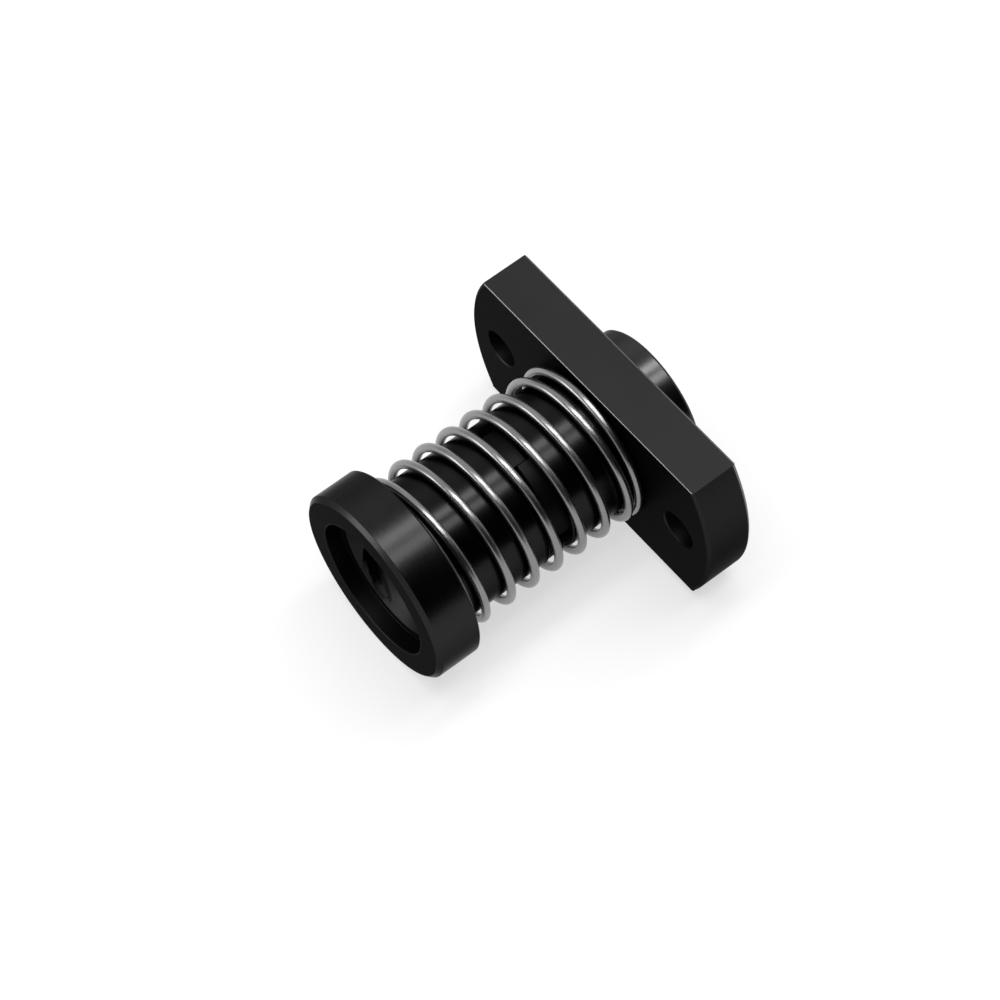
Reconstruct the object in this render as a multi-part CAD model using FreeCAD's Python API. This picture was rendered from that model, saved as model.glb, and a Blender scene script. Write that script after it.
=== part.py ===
import FreeCAD, Part
import math
import os
from FreeCAD import Vector

os.makedirs("parts", exist_ok=True)

# Frame: the screw axis runs along X, and X = 0 is the mounting face of the flange.
# The pilot points to +X, the spring and the preload nut lie to -X, and the flats face +Z and -Z.

# Flange of the fixed nut
flange_dia = 48.0
flange_thickness = 7.0
flange_across_flats = 24.0
flange_chamfer = 0.4
flat_edge_break = 0.15
bolt_circle_dia = 36.0
bolt_hole_dia = 5.5
bolt_hole_chamfer = 0.15

# Pilot behind the flange
pilot_dia = 20.0
pilot_length = 3.5
pilot_chamfer = 0.35
pilot_lead_in = 0.6

# Barrels that carry the spring
barrel_dia = 19.8
fixed_barrel_length = 10.4
barrel_edge_break = 0.15

# Preload nut
collar_dia = 27.5
collar_width = 6.6
collar_front_chamfer = 0.6
collar_back_chamfer = 0.25
recess_dia = 19.5
recess_depth = 2.5
recess_lead_in = 0.5
preload_barrel_length = 14.2

# Claws that key the two nuts together
claw_count = 3
claw_step = 0.2
claw_reach = 2.6
take_up_gap = 1.2
preload_claw_angle = 38.0
window_angle = 13.5
slit_angle = 0.8
first_claw_angle = 65.0

# Lead screw thread
screw_dia = 16.0
thread_pitch = 4.0
thread_starts = 4
thread_crest_clearance = 0.25
thread_depth = 2.0
thread_flank_angle = 15.0
thread_backlash = 0.1
thread_core_trim = 0.2
thread_relief = 0.3
thread_relief_length = 1.2

# Compression spring
wire_dia = 1.2
spring_clearance = 0.45
spring_active_turns = 6.5
ground_depth = 0.15
spring_seat_gap = 0.05
spring_start_angle = 227.0

# Sizes that follow from the ones above
flange_front = -flange_thickness
fixed_barrel_end = flange_front - fixed_barrel_length
barrel_gap = claw_reach + take_up_gap
preload_barrel_end = fixed_barrel_end - barrel_gap
collar_back = preload_barrel_end - preload_barrel_length
collar_front = collar_back - collar_width
claw_radius = barrel_dia / 2 - claw_step
claw_sector = 360.0 / claw_count
fixed_claw_angle = claw_sector - preload_claw_angle - window_angle - slit_angle
thread_lead = thread_pitch * thread_starts
thread_major_radius = screw_dia / 2 + thread_crest_clearance
thread_minor_radius = screw_dia / 2 - thread_depth
relief_radius = thread_major_radius + thread_relief
spring_radius = barrel_dia / 2 + spring_clearance + wire_dia / 2
spring_seat = flange_front - spring_seat_gap
spring_far_seat = collar_back + spring_seat_gap


def turned(points):
    """Solid of revolution about X from (x, radius) pairs of a closed outline."""
    corners = [Vector(x, 0, r) for x, r in points]
    face = Part.Face(Part.makePolygon(corners + corners[:1]))
    return face.revolve(Vector(0, 0, 0), Vector(1, 0, 0), 360)


def drilled(radius, start, end, y=0.0, z=0.0):
    """Cylinder along X between two X positions."""
    return Part.makeCylinder(radius, end - start, Vector(start, y, z), Vector(1, 0, 0))


def coned(radius_start, radius_end, start, end, y=0.0):
    """Cone along X between two X positions."""
    return Part.makeCone(radius_start, radius_end, end - start, Vector(start, y, 0), Vector(1, 0, 0))


def flange_disc():
    r = flange_dia / 2
    c = flange_chamfer
    disc = turned([
        (flange_front, 0),
        (flange_front, r - c),
        (flange_front + c, r),
        (-c, r),
        (0, r - c),
        (0, 0),
    ])
    half = flange_across_flats / 2
    slab = Part.makeBox(
        flange_thickness, 2 * r + 2, flange_across_flats,
        Vector(flange_front, -r - 1, -half),
    )
    flat_edges = [e for e in slab.Edges if e.Length > 2 * r]
    slab = slab.makeChamfer(flat_edge_break, flat_edges)
    return disc.common(slab)


def bolt_holes():
    r = bolt_hole_dia / 2
    c = bolt_hole_chamfer
    cutters = []
    for side in (1, -1):
        y = side * bolt_circle_dia / 2
        hole = drilled(r, flange_front - 1, 1, y)
        front = coned(r + c + 1, r, flange_front - 1, flange_front + c, y)
        back = coned(r, r + c + 1, -c, 1, y)
        cutters.append(hole.fuse([front, back]))
    return cutters


def thread_groove(start, end, turn):
    """One start of the internal thread, as a trapezoid swept along its helix."""
    mean = (thread_major_radius + thread_minor_radius) / 2
    half_mean = (thread_pitch / 2 + thread_backlash) / 2
    slope = math.tan(math.radians(thread_flank_angle))
    inner = thread_minor_radius - 2 * thread_core_trim
    half_outer = half_mean - (thread_major_radius - mean) * slope
    half_inner = half_mean + (mean - inner) * slope
    corners = [
        Vector(inner, 0, -half_inner),
        Vector(thread_major_radius, 0, -half_outer),
        Vector(thread_major_radius, 0, half_outer),
        Vector(inner, 0, half_inner),
    ]
    outline = Part.makePolygon(corners + corners[:1])
    path = Part.makeHelix(thread_lead, end - start, thread_minor_radius)
    groove = Part.Wire(path).makePipeShell([outline], True, True)
    groove.rotate(Vector(0, 0, 0), Vector(0, 1, 0), 90)
    # The turn depends on X alone, so one screw fits the threads of both nuts.
    phase = 360.0 * start / thread_lead + 360.0 * turn / thread_starts
    groove.rotate(Vector(0, 0, 0), Vector(1, 0, 0), phase)
    groove.translate(Vector(start, 0, 0))
    return groove


def threaded(body, start, end):
    """Cut all starts of the thread together with a core, then bore the crests to size."""
    first = start - thread_pitch
    last = end + thread_pitch
    core = drilled(thread_minor_radius - thread_core_trim, first, last)
    grooves = [thread_groove(first, last, turn) for turn in range(thread_starts)]
    body = body.cut(core.fuse(grooves))
    return body.cut(drilled(thread_minor_radius, start - 1, end + 1))


def claw(start, end, angle, width):
    """One claw: a sector of the barrel wall from its root to its tip."""
    outer = drilled(claw_radius, start, end)
    wall = outer.cut(drilled(relief_radius, start - 1, end + 1))
    far = 2 * barrel_dia
    wedge = Part.makePolygon([
        Vector(start - 1, 0, 0),
        Vector(start - 1, far, 0),
        Vector(start - 1, far * math.cos(math.radians(width)), far * math.sin(math.radians(width))),
        Vector(start - 1, 0, 0),
    ])
    sector = Part.Face(wedge).extrude(Vector(end - start + 2, 0, 0))
    sector.rotate(Vector(0, 0, 0), Vector(1, 0, 0), angle)
    return wall.common(sector)


def make_fixed_nut():
    """Flange, barrel with claws and pilot, turned and milled from one piece."""
    barrel_r = barrel_dia / 2
    pilot_r = pilot_dia / 2
    b = barrel_edge_break
    body = turned([
        (fixed_barrel_end, 0),
        (fixed_barrel_end, barrel_r - b),
        (fixed_barrel_end + b, barrel_r),
        (flange_front + 1, barrel_r),
        (flange_front + 1, pilot_r),
        (pilot_length - pilot_chamfer, pilot_r),
        (pilot_length, pilot_r - pilot_chamfer),
        (pilot_length, 0),
    ])
    body = body.fuse(flange_disc()).removeSplitter()
    for cutter in bolt_holes():
        body = body.cut(cutter)
    body = threaded(body, fixed_barrel_end, pilot_length)
    relief_end = fixed_barrel_end + thread_relief_length
    body = body.cut(drilled(relief_radius, fixed_barrel_end - 1, relief_end))
    mouth = thread_major_radius + pilot_lead_in
    lead_in_start = pilot_length - mouth + thread_minor_radius
    body = body.cut(coned(thread_minor_radius - 1, mouth + 1, lead_in_start - 1, pilot_length + 1))
    claw_tip = fixed_barrel_end - claw_reach
    claw_root = fixed_barrel_end + b + 0.2
    claws = []
    for i in range(claw_count):
        angle = first_claw_angle + preload_claw_angle + slit_angle + i * claw_sector
        claws.append(claw(claw_tip, claw_root, angle, fixed_claw_angle))
    return body.fuse(claws).removeSplitter()


def make_preload_nut():
    """Round collar and barrel with claws, turned and milled from one piece."""
    collar_r = collar_dia / 2
    barrel_r = barrel_dia / 2
    b = barrel_edge_break
    body = turned([
        (collar_front, 0),
        (collar_front, collar_r - collar_front_chamfer),
        (collar_front + collar_front_chamfer, collar_r),
        (collar_back - collar_back_chamfer, collar_r),
        (collar_back, collar_r - collar_back_chamfer),
        (collar_back, barrel_r),
        (preload_barrel_end - b, barrel_r),
        (preload_barrel_end, barrel_r - b),
        (preload_barrel_end, 0),
    ])
    body = threaded(body, collar_front, preload_barrel_end)
    relief_start = preload_barrel_end - thread_relief_length
    body = body.cut(drilled(relief_radius, relief_start, preload_barrel_end + 1))
    floor = collar_front + recess_depth
    body = body.cut(drilled(recess_dia / 2, collar_front - 1, floor))
    mouth = thread_major_radius + recess_lead_in
    lead_in_end = floor + mouth - thread_minor_radius
    body = body.cut(coned(mouth, thread_minor_radius, floor, lead_in_end))
    claw_root = preload_barrel_end - b - 0.2
    claw_tip = preload_barrel_end + claw_reach
    claws = []
    for i in range(claw_count):
        angle = first_claw_angle + i * claw_sector
        claws.append(claw(claw_root, claw_tip, angle, preload_claw_angle))
    return body.fuse(claws).removeSplitter()


def spring_point(turn):
    """Point of the wire's centre line after a number of turns from the flange end."""
    dead_rise = wire_dia + spring_seat_gap
    first = spring_seat - wire_dia / 2 + ground_depth
    last = spring_far_seat + wire_dia / 2 - ground_depth
    pitch = (first - last - 2 * dead_rise) / spring_active_turns
    active = min(max(turn - 1, 0), spring_active_turns)
    x = first - dead_rise * (turn - active) - pitch * active
    # A right-hand spring turns backwards when it is followed towards -X.
    angle = math.radians(spring_start_angle - 360 * turn)
    return Vector(x, spring_radius * math.cos(angle), spring_radius * math.sin(angle))


def make_spring():
    """Right-hand round wire spring with one closed and ground turn at each end."""
    # A third of a turn is short enough for one arc to follow the helix.
    turns = spring_active_turns + 2
    count = int(math.ceil(3 * turns))
    arcs = []
    for i in range(count):
        start = spring_point(turns * i / count)
        middle = spring_point(turns * (i + 0.5) / count)
        end = spring_point(turns * (i + 1) / count)
        arcs.append(Part.Arc(start, middle, end).toShape())
    tangent = arcs[0].tangentAt(arcs[0].FirstParameter)
    section = Part.Wire(Part.makeCircle(wire_dia / 2, spring_point(0), tangent))
    wire = Part.Wire(arcs).makePipe(Part.Face(section))
    keep = drilled(barrel_dia, spring_far_seat, spring_seat)
    return wire.common(keep)


pieces = {
    "fixed_nut": make_fixed_nut(),
    "preload_nut": make_preload_nut(),
    "preload_spring": make_spring(),
}

for name, shape in pieces.items():
    solids = shape.Solids
    if len(solids) == 1:
        shape = solids[0]
    print(name, shape.isValid(), len(solids), round(shape.Volume, 2), shape.BoundBox)
    shape.exportStep("parts/" + name + ".step")
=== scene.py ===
import math

import bmesh
import bpy
import numpy as np
from mathutils import Matrix, Vector


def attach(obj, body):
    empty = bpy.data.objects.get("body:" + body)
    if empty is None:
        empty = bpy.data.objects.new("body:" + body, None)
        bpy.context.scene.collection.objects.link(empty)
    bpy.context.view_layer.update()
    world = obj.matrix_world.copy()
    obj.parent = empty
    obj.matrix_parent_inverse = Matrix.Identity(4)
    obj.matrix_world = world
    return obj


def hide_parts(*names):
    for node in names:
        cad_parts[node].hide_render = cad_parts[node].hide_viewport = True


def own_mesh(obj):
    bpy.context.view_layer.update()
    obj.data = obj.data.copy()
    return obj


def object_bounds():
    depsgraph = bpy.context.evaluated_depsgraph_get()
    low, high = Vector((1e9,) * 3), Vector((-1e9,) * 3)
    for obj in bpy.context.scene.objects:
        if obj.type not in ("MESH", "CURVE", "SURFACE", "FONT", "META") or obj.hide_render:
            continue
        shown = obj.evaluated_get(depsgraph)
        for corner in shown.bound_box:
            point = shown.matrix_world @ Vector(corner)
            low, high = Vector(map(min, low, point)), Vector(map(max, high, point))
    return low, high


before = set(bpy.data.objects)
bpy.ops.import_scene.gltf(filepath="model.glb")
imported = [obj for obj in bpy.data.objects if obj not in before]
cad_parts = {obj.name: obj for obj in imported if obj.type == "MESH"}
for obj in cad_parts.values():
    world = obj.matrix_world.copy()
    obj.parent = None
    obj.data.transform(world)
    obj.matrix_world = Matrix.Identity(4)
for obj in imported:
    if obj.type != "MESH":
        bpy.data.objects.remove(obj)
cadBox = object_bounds()
print("frame loaded:", sorted(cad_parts))

mm = 0.001


class Wire:
    # one value in a shader sheet; plain arithmetic on it adds Math nodes
    def __init__(self, sheet, socket):
        self.sheet = sheet
        self.socket = socket

    def combine(self, operation, first, second):
        return self.sheet.add("ShaderNodeMath", {"operation": operation}, {0: first, 1: second})

    def __add__(self, other):
        return self.combine("ADD", self, other)

    def __radd__(self, other):
        return self.combine("ADD", other, self)

    def __sub__(self, other):
        return self.combine("SUBTRACT", self, other)

    def __mul__(self, other):
        return self.combine("MULTIPLY", self, other)

    def __rmul__(self, other):
        return self.combine("MULTIPLY", other, self)

    def __pow__(self, other):
        return self.combine("POWER", self, other)


class Sheet:
    # the node tree of one material or of the world
    def __init__(self, tree):
        self.tree = tree
        tree.nodes.clear()

    def add(self, kind, settings=None, inputs=None, output=0):
        node = self.tree.nodes.new(kind)
        for key, value in (settings or {}).items():
            if key == "stops":
                ramp = node.color_ramp
                while len(ramp.elements) < len(value):
                    ramp.elements.new(1.0)
                for element, (place, tone) in zip(ramp.elements, value):
                    element.position = place
                    element.color = (tone, tone, tone, 1.0)
            else:
                setattr(node, key, value)
        for key, value in (inputs or {}).items():
            if isinstance(value, Wire):
                self.tree.links.new(value.socket, node.inputs[key])
            else:
                node.inputs[key].default_value = value
        return Wire(self, node.outputs[output])

    def split(self, wire):
        # the x, y and z of a place, each as a wire of its own
        node = self.add("ShaderNodeSeparateXYZ", inputs={0: wire}).socket.node
        return [Wire(self, part) for part in node.outputs]

    def noise(self, place, scale, detail, roughness, dimensions="3D"):
        return self.add("ShaderNodeTexNoise", {"noise_dimensions": dimensions},
                        {"Vector": place, "Scale": scale, "Detail": detail, "Roughness": roughness})

    def blend(self, factor, first, second, how="MIX"):
        # sockets 6 and 7 take the two colours, and output 2 gives the blended one
        return self.add("ShaderNodeMix", {"data_type": "RGBA", "blend_type": how},
                        {"Factor": factor, 6: first, 7: second}, output=2)

    def finish(self, kind, wire):
        node = self.tree.nodes.new(kind)
        self.tree.links.new(wire.socket, node.inputs["Surface"])


def newSheet(name):
    material = bpy.data.materials.new(name)
    material.use_nodes = True
    return material, Sheet(material.node_tree)


def grey(tone, warmth=0.0):
    return (tone * (1 + warmth), tone, tone * (1 - warmth), 1.0)


steelMarks = {"ringScale": 5200.0, "cloudScale": 130.0, "speckScale": 9000.0, "share": 0.18,
              "cloudGloss": 0.12, "speckGloss": 0.10, "ringGloss": 0.12, "speckHeight": 10.0,
              "bumpStrength": 0.35, "bumpDistance": 0.000004}


def makeBlackSteel(name, tone, gloss, turning, grain=0.02, tint=0.44):
    # tone is the metal's own colour, gloss its mean roughness and tint how strongly it mirrors at a
    # shallow angle; turning marks depend on the place along the axis and on the radius only
    s = steelMarks
    material, sheet = newSheet(name)
    place = sheet.add("ShaderNodeTexCoord", output="Object")
    alongX, y, z = sheet.split(place)
    radius = (y * y + z * z) ** 0.5
    turned = sheet.add("ShaderNodeCombineXYZ", inputs={0: alongX, 1: radius, 2: 0.0})
    rings = sheet.noise(turned, s["ringScale"], 2.0, 0.6)
    clouds = sheet.noise(place, s["cloudScale"], 4.0, 0.55)
    specks = sheet.noise(place, s["speckScale"], 3.0, 0.6)
    mask = 0.5 + s["share"] * 2.0 * (clouds - 0.5) + s["share"] * (specks - 0.5)
    colour = sheet.blend(mask, grey(tone * 0.6, -0.01), grey(tone * 1.4, 0.01))
    rough = gloss + s["cloudGloss"] * (clouds - 0.5) + s["speckGloss"] * (specks - 0.5)
    rough = rough + turning * s["ringGloss"] * (rings - 0.5)
    height = turning * rings + grain * s["speckHeight"] * specks
    bump = sheet.add("ShaderNodeBump", inputs={
        "Strength": s["bumpStrength"], "Distance": s["bumpDistance"], "Height": height})
    skin = sheet.add("ShaderNodeBsdfPrincipled", inputs={
        "Base Color": colour, "Metallic": 1.0, "Roughness": rough,
        "Specular Tint": grey(tint), "Normal": bump})
    sheet.finish("ShaderNodeOutputMaterial", skin)
    return material


# face is the flange's two faces and rim the collar's, both darker copies of the black steel that paint
# shade on them, and edge the broken edges, painted bright as a highlight
finish = {
    "flange": {"tone": 0.0235, "gloss": 0.48, "turning": 0.10, "grain": 0.05, "tint": 0.385},
    # face and rim are darker copies of the black steel: painted shade
    "face": {"tone": 0.0095, "gloss": 0.46, "turning": 0.35, "tint": 0.45},
    "rim": {"tone": 0.0095, "gloss": 0.46, "turning": 0.35, "tint": 0.40},
    "barrel": {"tone": 0.0165, "gloss": 0.23, "turning": 0.25, "tint": 0.47},
    "claw": {"tone": 0.008, "gloss": 0.45, "turning": 0.10},
    "collar": {"tone": 0.024, "gloss": 0.27, "turning": 0.30, "tint": 0.47},
    "pilot": {"tone": 0.050, "gloss": 0.24, "turning": 0.30, "tint": 0.47},
    "thread": {"tone": 0.016, "gloss": 0.42, "turning": 0.10},
    # the edge finish is a painted highlight: its tone is six times the flange's
    "edge": {"tone": 0.140, "gloss": 0.34, "turning": 0.10, "tint": 0.6},
}
blackSteel = {zone: makeBlackSteel("black_" + zone, **values) for zone, values in finish.items()}
zoneIndex = {zone: index for index, zone in enumerate(finish)}
print("black finishes:", len(blackSteel))


wireMarks = {"lineStretch": (0.35, 14.0, 1.0), "lineScale": 3.0, "cloudScale": 260.0,
             "dark": 0.18, "bright": 0.29, "gloss": 0.28, "cloudGloss": 0.12, "lineGloss": 0.10,
             "bumpStrength": 0.25, "bumpDistance": 0.000006}


def makeSpringSteel():
    # drawn wire: fine lines run along the wire, in its own lay of length and turn
    s = wireMarks
    material, sheet = newSheet("spring_wire")
    lay = sheet.add("ShaderNodeUVMap", {"uv_map": "lay"})
    place = sheet.add("ShaderNodeTexCoord", output="Object")
    lines = sheet.add("ShaderNodeMapping", inputs={"Vector": lay, "Scale": s["lineStretch"]})
    drawn = sheet.noise(lines, s["lineScale"], 3.0, 0.6, "2D")
    clouds = sheet.noise(place, s["cloudScale"], 3.0, 0.5)
    mask = 0.5 + 0.5 * (drawn - 0.5) + 0.5 * (clouds - 0.5)
    colour = sheet.blend(mask, grey(s["dark"], 0.0), grey(s["bright"], -0.004))
    rough = s["gloss"] + s["cloudGloss"] * (clouds - 0.5) + s["lineGloss"] * (drawn - 0.5)
    bump = sheet.add("ShaderNodeBump", inputs={
        "Strength": s["bumpStrength"], "Distance": s["bumpDistance"], "Height": drawn})
    skin = sheet.add("ShaderNodeBsdfPrincipled", inputs={
        "Base Color": colour, "Metallic": 1.0, "Roughness": rough, "Normal": bump})
    sheet.finish("ShaderNodeOutputMaterial", skin)
    return material


springSteel = makeSpringSteel()

skinRules = {"merge": 1.5e-6, "empty": 1e-7, "sharpNut": 32.0, "sharpWire": 40.0}


def addPiece(name, x, y, z, zones=None, lay=None, sharp=skinRules["sharpNut"]):
    # a grid of rows and columns in millimetres becomes one closed skin; zones gives the faces their
    # finish, and lay gives the corners their place on the wire rolled out flat
    rows, columns = x.shape
    corners = np.stack([x, y, z], axis=-1).reshape(-1, 3) * mm
    index = np.arange(rows * columns).reshape(rows, columns)
    quads = np.stack([index[:-1, :-1], index[:-1, 1:], index[1:, 1:], index[1:, :-1]], axis=-1)
    quads = quads.reshape(-1, 4)
    mesh = bpy.data.meshes.new(name)
    mesh.from_pydata(corners, [], quads)
    if zones is not None:
        every = np.broadcast_to(zones, (rows - 1, columns - 1))
        mesh.polygons.foreach_set("material_index", every.astype(np.int32).ravel())
    if lay is not None:
        layer = mesh.uv_layers.new(name="lay")
        places = lay.reshape(-1, 2)[quads.ravel()]
        layer.data.foreach_set("uv", places.astype(np.float32).ravel())
    piece = bpy.data.objects.new(name, mesh)
    bpy.context.scene.collection.objects.link(piece)
    closeSkin(mesh)
    smoothSkin(mesh, sharp)
    return piece


def closeSkin(mesh):
    # seams and poles are merged, empty faces dropped, slits that a cut left along a straight edge
    # closed again and every face turned outwards
    work = bmesh.new()
    work.from_mesh(mesh)
    bmesh.ops.remove_doubles(work, verts=work.verts, dist=skinRules["merge"])
    bmesh.ops.dissolve_degenerate(work, dist=skinRules["empty"], edges=work.edges)
    slits = [edge for edge in work.edges if edge.is_boundary]
    bmesh.ops.holes_fill(work, edges=slits, sides=0)
    bmesh.ops.recalc_face_normals(work, faces=work.faces)
    loose = sum(1 for edge in work.edges if not edge.is_manifold)
    if work.calc_volume(signed=True) < 0:
        bmesh.ops.reverse_faces(work, faces=work.faces)
    print("  ", mesh.name, len(work.faces), "faces,", loose, "open edges,",
          round(work.calc_volume() * 1e9, 1), "mm3")
    work.to_mesh(mesh)
    work.free()


def smoothSkin(mesh, angle):
    mesh.shade_smooth()
    mesh.set_sharp_from_angle(angle=math.radians(angle))


def giveBlackSteel(piece):
    for zone in finish:
        piece.data.materials.append(blackSteel[zone])


rounding = {"share": 0.3, "hold": 1.45}


def softened(points, radius, steps=3):
    # every corner C between A and B is rounded: the points (1-s)^2 A + 2s(1-s) C + s^2 B lie
    # between two held points, so the flats beside the corner stay flat
    points = np.asarray(points, float)
    corner = points[1:-1]
    back = points[:-2] - corner
    ahead = points[2:] - corner
    backLong = np.linalg.norm(back, axis=1, keepdims=True)
    aheadLong = np.linalg.norm(ahead, axis=1, keepdims=True)
    reach = np.minimum(radius, rounding["share"] * np.minimum(backLong, aheadLong))
    first = corner + back / backLong * reach
    last = corner + ahead / aheadLong * reach
    s = np.linspace(0, 1, steps + 1)[None, :, None]
    arc = (1 - s) ** 2 * first[:, None] + 2 * s * (1 - s) * corner[:, None] + s ** 2 * last[:, None]
    before = corner + back / backLong * reach * rounding["hold"]
    after = corner + ahead / aheadLong * reach * rounding["hold"]
    band = np.concatenate([before[:, None], arc, after[:, None]], axis=1)
    return np.concatenate([points[:1], band.reshape(-1, points.shape[1]), points[-1:]])


def columnAngles(count, doubled):
    # even angles and, at each edge of a claw or a flat, two columns on the same angle, while even
    # ones within 0.35 of a step from an edge are left out;
    # side is -1 on the column before the edge and +1 on the one after it
    even = np.linspace(0, 2 * np.pi, count + 1)
    edges = np.radians(np.mod(doubled, 360.0))
    keep = np.min(np.abs(even[:, None] - edges[None, :]), axis=1) > 0.35 * 2 * np.pi / count
    keep[[0, -1]] = True
    angle = np.concatenate([even[keep], edges, edges])
    side = np.concatenate([np.zeros(keep.sum()), -np.ones(len(edges)), np.ones(len(edges))])
    order = np.lexsort((side, np.round(angle, 9)))
    return angle[order], side[order]


def inSector(angle, side, start, width):
    # true on the columns between start and start + width, counting an edge's own inner column,
    # which is told by moving each edge's columns a hundredth of a degree to their side
    nudged = np.degrees(angle) + side * 0.01
    return np.mod(nudged - start, 360.0) <= width


thread = {"lead": 16.0, "pitch": 4.0, "major": 8.25, "minor": 6.0, "flank": 15.0, "backlash": 0.1,
          "rootRound": 0.10, "relief": 8.55, "landHold": 0.3, "lip": 0.05}


def threadRows(angle, start, end, mouth, mouthAt):
    # right-hand internal thread: a row keeps its place in the groove's outline and moves along the
    # axis by one lead a turn, x = lead * angle / 2 pi + pitch * k + t, held between start and end;
    # the radius is the larger of the groove's outline at t and a cone that opens towards the mouth
    minor = thread["minor"]
    major = thread["major"]
    pitch = thread["pitch"]
    hold = thread["landHold"]
    half = (pitch / 2 + thread["backlash"]) / 2
    mean = (major + minor) / 2
    lean = math.tan(math.radians(thread["flank"]))
    crest = half + (mean - minor) * lean
    root = half - (major - mean) * lean
    land = pitch - crest
    outline = softened([(-crest - hold, minor), (-crest, minor), (-root, major), (root, major),
                        (crest, minor), (land - hold, minor)], thread["rootRound"], 2)
    lowest = math.floor((start - thread["lead"]) / pitch) - 1
    highest = math.ceil(end / pitch) + 1
    k = np.arange(lowest, highest + 1)
    t = (k[:, None] * pitch + outline[None, :, 0]).ravel()
    r = np.tile(outline[:, 1], len(k))
    turned = thread["lead"] * angle[None, :] / (2 * np.pi)
    free = turned + t[:, None]
    x = np.clip(free, start, end)
    # a row that is held at an end takes the outline's radius there, not its own
    phase = np.mod(x - turned + crest + hold, pitch) - crest - hold
    held = np.interp(phase, outline[:, 0], outline[:, 1])
    radius = np.where(free == x, r[:, None], held)
    cone = mouth - np.abs(x - mouthAt)
    return x, np.maximum(radius, cone)


def turnRound(x, radius, angle):
    return x, radius * np.cos(angle)[None, :], radius * np.sin(angle)[None, :]


def spread(points, angle):
    # the same row point on every column
    return (np.repeat(points[:, :1], len(angle), axis=1), np.repeat(points[:, 1:2], len(angle), axis=1))


claws = {"count": 3, "first": 65.0, "sector": 120.0, "preload": 38.0, "window": 13.5, "slit": 0.8,
         "outer": 9.7, "reach": 2.6}
claws["fixed"] = claws["sector"] - claws["preload"] - claws["window"] - claws["slit"]


def clawStarts(first):
    return [first + i * claws["sector"] for i in range(claws["count"])]


def clawRows(angle, onClaw, root, tip):
    # from the relief bore round the claws' tips to the barrel; between claws the tip is the root
    near = np.full_like(angle, root)
    far = np.where(onClaw, tip, root)
    radii = np.array([[thread["relief"]], [thread["relief"]], [claws["outer"]], [claws["outer"]]])
    return np.stack([near, far, far, near]), np.repeat(radii, len(angle), axis=1)


fixedNut = {"flange": 24.0, "flat": 12.0, "thick": 7.0, "chamfer": 0.4, "flatBreak": 0.15,
            "barrel": 9.9, "barrelEnd": -17.4, "pilot": 10.0, "pilotEnd": 3.5, "pilotChamfer": 0.35,
            "edgeBreak": 0.15, "shoulder": 1.0, "mouth": 8.85, "reliefLong": 1.2, "edgeRound": 0.07,
            "hole": 2.75, "holeAt": 18.0, "holeBreak": 0.15, "holeRound": 0.03, "holeColumns": 96,
            "columns": 360}


def flangeRim(reach, cut):
    # the flange's rim from the front face to the back one, where it stands at reach from the axis
    s = fixedNut
    face = -s["thick"]
    return softened([(face, s["barrel"] + s["shoulder"]), (face, reach - cut), (face + cut, reach),
                     (-cut, reach), (0, reach - cut), (0, s["pilot"] + s["shoulder"])],
                    s["edgeRound"])[1:-1]


def fixedNutZones(x, r, onFlat, stretches):
    # each stretch of rows has a finish; the two faces of the flange have their own darker one, which
    # paints shade on them, and the broken edges of the flats and the back edge of the round ends get a
    # brighter one, a painted highlight
    s = fixedNut
    zone = zoneIndex
    face = -s["thick"]
    zones = np.concatenate([np.full(count, zone[name]) for name, count in stretches])
    middle = (x[1:].mean(axis=1) + x[:-1].mean(axis=1)) / 2
    onFace = (np.abs(middle - face) < 0.01) | (np.abs(middle) < 0.01)
    # the flange's faces take the darker face finish, painted shade
    zones = np.where(onFace & (zones != zone["thread"]), zone["face"], zones)
    wide = (r[1:] + r[:-1]) / 2
    inMetal = (zones == zone["flange"])[:, None]
    byFace = (middle < face + s["flatBreak"]) | (middle > -s["flatBreak"])
    # these two masks pick the edges that get the brighter edge finish, a painted highlight
    flatEdgeHighlight = onFlat[None, 1:] & onFlat[None, :-1] & byFace[:, None]
    backEdgeHighlight = (middle > -s["chamfer"] * 0.9)[:, None] & (wide[:, 1:] > s["pilot"] + 1.5)
    return np.where(inMetal & (flatEdgeHighlight | backEdgeHighlight), zone["edge"], zones[:, None])


def cutBoltHole(piece, number, sideways):
    # the drill opens by as much as it stands out beyond each face, which breaks the hole's edges
    s = fixedNut
    face = -s["thick"]
    beyond = 2.0
    flare = s["hole"] + s["holeBreak"] + beyond
    drill = softened([(face - beyond, 0.0), (face - beyond, flare), (face + s["holeBreak"], s["hole"]),
                      (-s["holeBreak"], s["hole"]), (beyond, flare), (beyond, 0.0)], s["holeRound"], 2)
    turn = np.linspace(0, 2 * np.pi, s["holeColumns"] + 1)
    x, y, z = turnRound(*spread(drill, turn), turn)
    cutter = addPiece("drill_%d" % number, x, y + sideways * s["holeAt"], z, zones=zoneIndex["flange"])
    giveBlackSteel(cutter)
    cut = piece.modifiers.new("bolt_hole", "BOOLEAN")
    cut.operation = "DIFFERENCE"
    cut.solver = "EXACT"
    cut.object = cutter
    settled(piece)
    bpy.data.objects.remove(cutter)


def settled(piece):
    # the modifiers are worked into the mesh and taken off
    graph = bpy.context.evaluated_depsgraph_get()
    mesh = bpy.data.meshes.new_from_object(piece.evaluated_get(graph))
    old = piece.data
    piece.modifiers.clear()
    piece.data = mesh
    bpy.data.meshes.remove(old)


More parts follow.
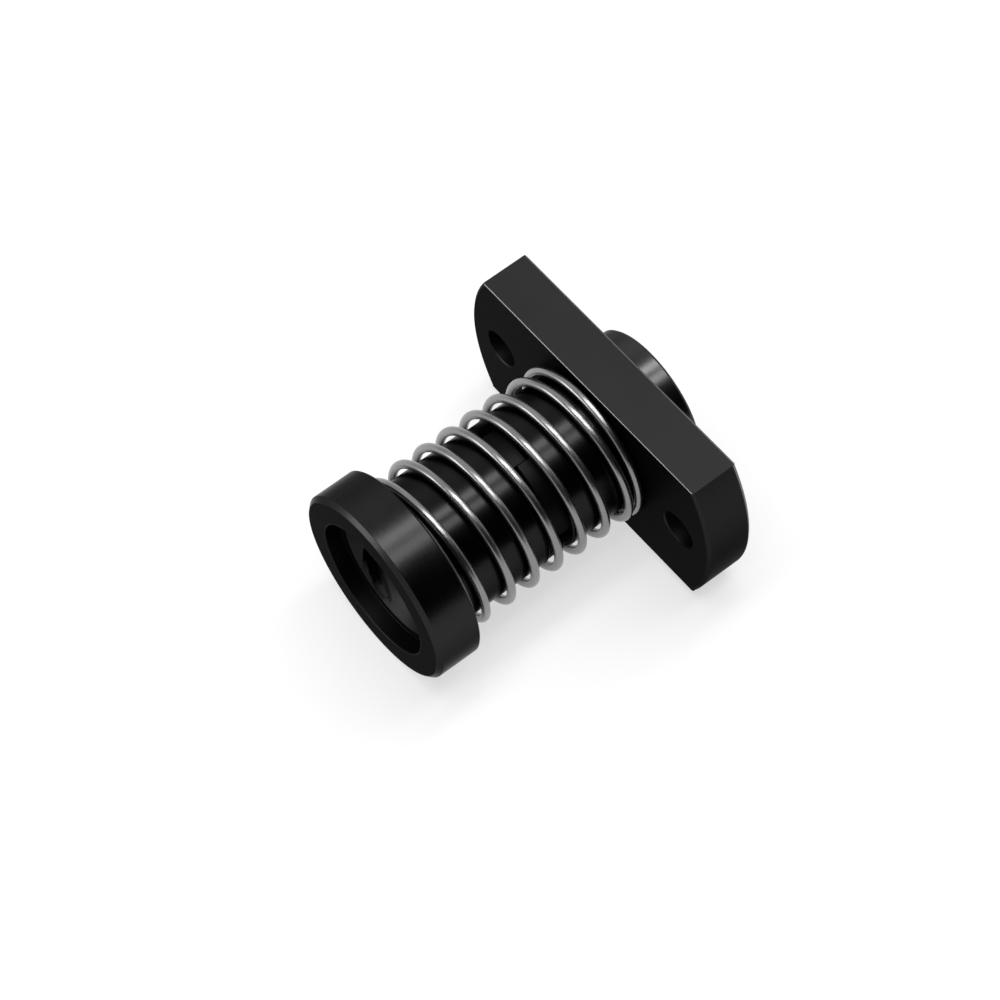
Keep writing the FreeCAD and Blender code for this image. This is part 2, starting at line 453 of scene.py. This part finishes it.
def makeFixedNut():
    s = fixedNut
    corner = math.degrees(math.asin(s["flat"] / s["flange"]))
    flatEnds = [corner, 180 - corner, 180 + corner, 360 - corner]
    flatWide = 180 - 2 * corner
    starts = clawStarts(claws["first"] + claws["preload"] + claws["slit"])
    clawEnds = starts + [v + claws["fixed"] for v in starts]
    angle, side = columnAngles(s["columns"], flatEnds + clawEnds)
    onFlat = inSector(angle, side, corner, flatWide) | inSector(angle, side, 180 + corner, flatWide)
    onClaw = sum(inSector(angle, side, v, claws["fixed"]) for v in starts) > 0
    end = s["barrelEnd"]
    face = -s["thick"]
    clawX, clawR = clawRows(angle, onClaw, end, end - claws["reach"])

    # the barrel up to the flange
    barrel = softened([(end, claws["outer"]), (end, s["barrel"] - s["edgeBreak"]),
                       (end + s["edgeBreak"], s["barrel"]), (face, s["barrel"]),
                       (face, s["barrel"] + s["shoulder"])], s["edgeRound"])
    barrelX, barrelR = spread(barrel[1:-1], angle)

    # the flange's rim, once round and once flat, so that a row can change from one to the other
    rimRound = flangeRim(s["flange"], s["chamfer"])
    rimFlat = flangeRim(s["flat"], s["flatBreak"])
    rise = np.maximum(np.abs(np.sin(angle)), 0.4)
    rimX = np.where(onFlat[None, :], rimFlat[:, :1], rimRound[:, :1])
    rimR = np.where(onFlat[None, :], rimFlat[:, 1:] / rise[None, :], rimRound[:, 1:])

    # the pilot and its mouth
    pilotEnd = s["pilotEnd"]
    pilot = softened([(0, s["pilot"] + s["shoulder"]), (0, s["pilot"]),
                      (pilotEnd - s["pilotChamfer"], s["pilot"]),
                      (pilotEnd, s["pilot"] - s["pilotChamfer"]), (pilotEnd, s["mouth"]),
                      (pilotEnd - 1.0, s["mouth"] - 1.0)], s["edgeRound"])
    pilotX, pilotR = spread(pilot[1:-2], angle)

    # the thread, from the mouth back to the relief
    reliefEnd = end + s["reliefLong"]
    opening = pilotEnd - thread["lip"]
    threadX, threadR = threadRows(angle, reliefEnd, opening, s["mouth"] - thread["lip"], opening)
    threadX, threadR = threadX[::-1], threadR[::-1]
    closeX, closeR = spread(np.array([[reliefEnd, thread["relief"]], [end, thread["relief"]]]), angle)

    x = np.concatenate([clawX, barrelX, rimX, pilotX, threadX, closeX])
    r = np.concatenate([clawR, barrelR, rimR, pilotR, threadR, closeR])
    stretches = [("claw", len(clawX)), ("barrel", len(barrelX)), ("flange", len(rimX)),
                 ("pilot", len(pilotX)), ("thread", len(threadX) + 1)]
    zones = fixedNutZones(x, r, onFlat, stretches)
    piece = addPiece("fixed_nut_skin", *turnRound(x, r, angle), zones=zones)
    giveBlackSteel(piece)
    for number, sideways in enumerate((1, -1)):
        cutBoltHole(piece, number, sideways)
    closeSkin(piece.data)
    smoothSkin(piece.data, skinRules["sharpNut"])
    return piece


preloadNut = {"collar": 13.75, "front": -42.0, "back": -35.4, "frontChamfer": 0.6, "backChamfer": 0.25,
              "barrel": 9.9, "barrelEnd": -21.2, "edgeBreak": 0.15, "recess": 9.75, "recessBreak": 0.1,
              "recessDeep": 2.5, "mouth": 8.75, "reliefLong": 1.2, "edgeRound": 0.07, "columns": 360}


def preloadNutZones(outside):
    # the barrel, the collar, the collar's two level faces and the inside of the recess
    s = preloadNut
    zone = zoneIndex
    place = (outside[1:, 0] + outside[:-1, 0]) / 2
    wide = (outside[1:, 1] + outside[:-1, 1]) / 2
    level = np.abs(outside[1:, 0] - outside[:-1, 0]) < 1e-4
    inRecess = (wide < s["recess"] + 0.12) & (place < s["back"] - 1)
    zones = np.where(place > s["back"] + 0.02, zone["barrel"], zone["collar"])
    # the collar's level faces take the darker rim finish, painted shade
    zones = np.where(level & (wide < s["collar"] - 0.1), zone["rim"], zones)
    return np.where(inRecess, zone["thread"], zones)


def makePreloadNut():
    s = preloadNut
    starts = clawStarts(claws["first"])
    angle, side = columnAngles(s["columns"], starts + [v + claws["preload"] for v in starts])
    onClaw = sum(inSector(angle, side, v, claws["preload"]) for v in starts) > 0
    end = s["barrelEnd"]
    floor = s["front"] + s["recessDeep"]
    clawX, clawR = clawRows(angle, onClaw, end, end + claws["reach"])

    # the outside, from the claws over the collar into the recess
    outside = softened([(end, claws["outer"]), (end, s["barrel"] - s["edgeBreak"]),
                        (end - s["edgeBreak"], s["barrel"]), (s["back"], s["barrel"]),
                        (s["back"], s["collar"] - s["backChamfer"]),
                        (s["back"] - s["backChamfer"], s["collar"]),
                        (s["front"] + s["frontChamfer"], s["collar"]),
                        (s["front"], s["collar"] - s["frontChamfer"]),
                        (s["front"], s["recess"] + s["recessBreak"]),
                        (s["front"] + s["recessBreak"], s["recess"]), (floor, s["recess"]),
                        (floor, s["mouth"]), (floor + 1.0, s["mouth"] - 1.0)], s["edgeRound"])
    outside = outside[1:-2]
    outX, outR = spread(outside, angle)

    # the thread, from the recess to the relief
    reliefEnd = end - s["reliefLong"]
    opening = floor + thread["lip"]
    threadX, threadR = threadRows(angle, opening, reliefEnd, s["mouth"] - thread["lip"], opening)
    closeX, closeR = spread(np.array([[reliefEnd, thread["relief"]], [end, thread["relief"]]]), angle)

    x = np.concatenate([clawX, outX, threadX, closeX])
    r = np.concatenate([clawR, outR, threadR, closeR])
    zones = np.concatenate([np.full(len(clawX), zoneIndex["claw"]), preloadNutZones(outside),
                            np.full(len(threadX) + 2, zoneIndex["thread"])])
    piece = addPiece("preload_nut_skin", *turnRound(x, r, angle), zones=zones[:, None])
    giveBlackSteel(piece)
    return piece


spring = {"radius": 10.95, "wire": 1.2, "seat": -7.05, "farSeat": -35.35, "ground": 0.15,
          "closed": 1.25, "active": 6.5, "start": 227.0, "perTurn": 84, "around": 28, "ease": 0.12,
          "sink": 0.45, "sinkFrom": 6.6, "sinkOver": 0.9, "takeUp": 1.1}

# each end is closed on its centre in rows of this share of the wire's radius, this far back
springCap = {"size": np.array([0.0, 0.55, 0.97, 1.0]), "back": np.array([0.0, 0.0, 0.0, 0.03])}


def capped(rows):
    # the first and the last row are repeated for the rows of the cap
    count = len(springCap["size"])
    return np.concatenate([np.repeat(rows[:1], count, axis=0), rows[1:-1],
                           np.repeat(rows[-1:], count, axis=0)])


def makeSpring():
    # round wire along a right-hand helix: the centre line stands at radius, turns by -360 degrees a turn
    # and moves by the closed rise or the pitch, eased where one becomes the other; the wire's circle
    # is spanned by the outward direction and its cross product with the tangent, and both ends are
    # ground flat by holding x between the two seats
    s = spring
    turns = s["active"] + 2
    first = s["seat"] - s["wire"] / 2 + s["ground"]
    last = s["farSeat"] + s["wire"] / 2 - s["ground"]
    pitch = (first - last - 2 * s["closed"]) / s["active"]
    turn = np.linspace(0, turns, int(turns * s["perTurn"]) + 1)
    step = turn[1] - turn[0]
    opened = 1 / (1 + np.exp((1 - turn) * 4 / s["ease"]))
    closed = 1 / (1 + np.exp((turns - 1 - turn) * 4 / s["ease"]))
    rate = s["closed"] + (pitch - s["closed"]) * opened * (1 - closed)
    travel = np.concatenate([[0], np.cumsum((rate[1:] + rate[:-1]) / 2 * step)])
    # the collar end is ground deeper, so its last turns sink to the seat by 3u^2 - 2u^3
    u = np.clip((turn - s["sinkFrom"]) / s["sinkOver"], 0, 1)
    x = first - travel * (first - last) / travel[-1] - s["sink"] * u * u * (3 - 2 * u)
    angle = np.radians(s["start"] - 360 * turn)
    centre = np.stack([x, s["radius"] * np.cos(angle), s["radius"] * np.sin(angle)], axis=1)
    out = np.stack([0 * x, np.cos(angle), np.sin(angle)], axis=1)
    tangent = np.gradient(centre, axis=0)
    tangent /= np.linalg.norm(tangent, axis=1, keepdims=True)
    across = capped(np.cross(tangent, out))
    out = capped(out)
    # each end is cut square, with a broken edge
    capSize = springCap["size"] * s["wire"] / 2
    capBack = springCap["back"]
    size = np.concatenate([capSize, np.full(len(turn) - 2, s["wire"] / 2), capSize[::-1]])
    centre = np.concatenate([centre[:1] + tangent[:1] * capBack[:, None], centre[1:-1],
                             centre[-1:] - tangent[-1:] * capBack[::-1, None]])
    beta = np.linspace(0, 2 * np.pi, s["around"] + 1)
    ring = (np.cos(beta)[None, :, None] * out[:, None] + np.sin(beta)[None, :, None] * across[:, None])
    wire = centre[:, None] + size[:, None, None] * ring
    wireX = np.clip(wire[..., 0], s["farSeat"], s["seat"])
    length = np.concatenate([[0], np.cumsum(np.linalg.norm(np.diff(centre, axis=0), axis=1))])
    lay = np.stack(np.broadcast_arrays(length[:, None], beta[None, :] / (2 * np.pi)), axis=-1)
    piece = addPiece("preload_spring_wire", wireX, wire[..., 1], wire[..., 2], lay=lay,
                     sharp=skinRules["sharpWire"])
    piece.data.materials.append(springSteel)
    return piece


print("nuts and spring")
fixedPiece = makeFixedNut()
preloadPiece = makePreloadNut()
springPiece = makeSpring()

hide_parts("fixed_nut")
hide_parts("preload_nut")
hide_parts("preload_spring")
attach(fixedPiece, "fixed")
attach(preloadPiece, "preload")
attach(springPiece, "fixed")
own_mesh(springPiece)


studio = {"floorHalf": 6.0, "floorTone": 0.30, "floorGlow": 0.62, "lampFar": 3.0}

floorLevel = min(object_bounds()[0][2], cadBox[0][2])


def makeFloor():
    # a plain diffuse floor; the rays that see it also get a glow, so that it reaches white
    half = studio["floorHalf"]
    mesh = bpy.data.meshes.new("floor")
    mesh.from_pydata([(-half, -half, floorLevel), (half, -half, floorLevel), (half, half, floorLevel),
                      (-half, half, floorLevel)], [], [(0, 1, 2, 3)])
    floor = bpy.data.objects.new("floor", mesh)
    bpy.context.scene.collection.objects.link(floor)
    material, sheet = newSheet("pale_floor")
    path = sheet.add("ShaderNodeLightPath")
    outputs = path.socket.node.outputs
    seen = Wire(sheet, outputs["Is Camera Ray"]) + Wire(sheet, outputs["Is Glossy Ray"]) + Wire(
        sheet, outputs["Is Transmission Ray"])
    paint = sheet.add("ShaderNodeBsdfDiffuse", inputs={"Color": grey(studio["floorTone"])})
    strength = seen * studio["floorGlow"]
    glow = sheet.add("ShaderNodeEmission", inputs={"Color": grey(1.0), "Strength": strength})
    both = sheet.add("ShaderNodeAddShader", inputs={0: paint, 1: glow})
    sheet.finish("ShaderNodeOutputMaterial", both)
    mesh.materials.append(material)


# turn and width are degrees about the axis, brightness is what a mirror would show
strips = {"strip_far": {"turn": 83.5, "width": 11.0, "brightness": 9.5},
          "strip_near": {"turn": 103.0, "width": 11.5, "brightness": 7.0}}
stripLong = 4.0
stripShift = 0.5
cards = {"card_left": {"towards": (-0.82, 0.50, 0.27), "width": 1.9, "height": 1.1, "brightness": 5.0}}


def makeLamp(name, place, turn, width, height, brightness):
    # brightness is power / (pi * area)
    lamp = bpy.data.lights.new(name, "AREA")
    lamp.shape = "RECTANGLE"
    lamp.size = width
    lamp.size_y = height
    lamp.energy = brightness * math.pi * width * height
    light = bpy.data.objects.new(name, lamp)
    light.location = place
    light.rotation_euler = turn
    bpy.context.scene.collection.objects.link(light)


def makeStrip(name, turn, width, brightness):
    # a long soft strip over the axis, turned about it
    far = studio["lampFar"]
    lean = math.radians(turn)
    place = (stripShift, far * math.cos(lean), far * math.sin(lean))
    across = 2 * far * math.tan(math.radians(width / 2))
    makeLamp(name, place, (lean - math.pi / 2, 0, 0), stripLong, across, brightness)


def makeCard(name, towards, width, height, brightness):
    # a soft square lamp that faces the object from one side
    away = Vector(towards).normalized()
    turn = away.to_track_quat("Z", "Y").to_euler()
    makeLamp(name, away * studio["lampFar"], turn, width, height, brightness)


# the sky's level from -Y to +Y, and how far the square of X lifts it at the two ends
skyLevels = [(0.0, 0.02), (0.30, 0.02), (0.42, 0.25), (0.64, 0.40), (0.72, 0.55), (0.80, 0.85),
             (0.90, 0.95), (0.94, 0.75), (1.0, 0.65)]
endLevels = [(0.40, 0.0), (0.85, 0.8)]


def makeWorld():
    world = bpy.data.worlds.new("studio")
    bpy.context.scene.world = world
    world.use_nodes = True
    sheet = Sheet(world.node_tree)
    place = sheet.add("ShaderNodeTexCoord", output="Generated")
    alongX, acrossY = sheet.split(place)[:2]
    level = sheet.add("ShaderNodeValToRGB", {"stops": skyLevels}, {0: acrossY * 0.5 + 0.5})
    ends = sheet.add("ShaderNodeValToRGB", {"stops": endLevels}, {0: alongX * alongX})
    both = sheet.blend(1.0, level, ends, "LIGHTEN")
    sky = sheet.add("ShaderNodeBackground", inputs={"Color": both, "Strength": 1.0})
    sheet.finish("ShaderNodeOutputWorld", sky)


makeFloor()
for name, values in strips.items():
    makeStrip(name, **values)
for name, values in cards.items():
    makeCard(name, **values)
makeWorld()
print("floor, lamps and world")

view = {"target": (-20.22, 1.82, -3.63), "azimuth": -34.21, "elevation": 58.495, "roll": -5.041,
        "distance": 458.75, "lens": 128.57}


def makeCamera():
    turn = math.radians(view["azimuth"])
    rise = math.radians(view["elevation"])
    roll = math.radians(view["roll"])
    back = Vector((math.sin(turn) * math.cos(rise), -math.cos(turn) * math.cos(rise), math.sin(rise)))
    level = Vector((math.cos(turn), math.sin(turn), 0))
    upright = back.cross(level)
    right = level * math.cos(roll) + upright * math.sin(roll)
    up = upright * math.cos(roll) - level * math.sin(roll)
    lens = bpy.data.cameras.new("camera")
    lens.lens = view["lens"]
    lens.sensor_width = 36.0
    lens.clip_start = 0.01
    camera = bpy.data.objects.new("camera", lens)
    place = (Vector(view["target"]) + back * view["distance"]) * mm
    camera.matrix_world = Matrix.Translation(place) @ Matrix((right, up, back)).transposed().to_4x4()
    bpy.context.scene.collection.objects.link(camera)
    bpy.context.scene.camera = camera


makeCamera()
bpy.context.scene.view_settings.view_transform = "Standard"
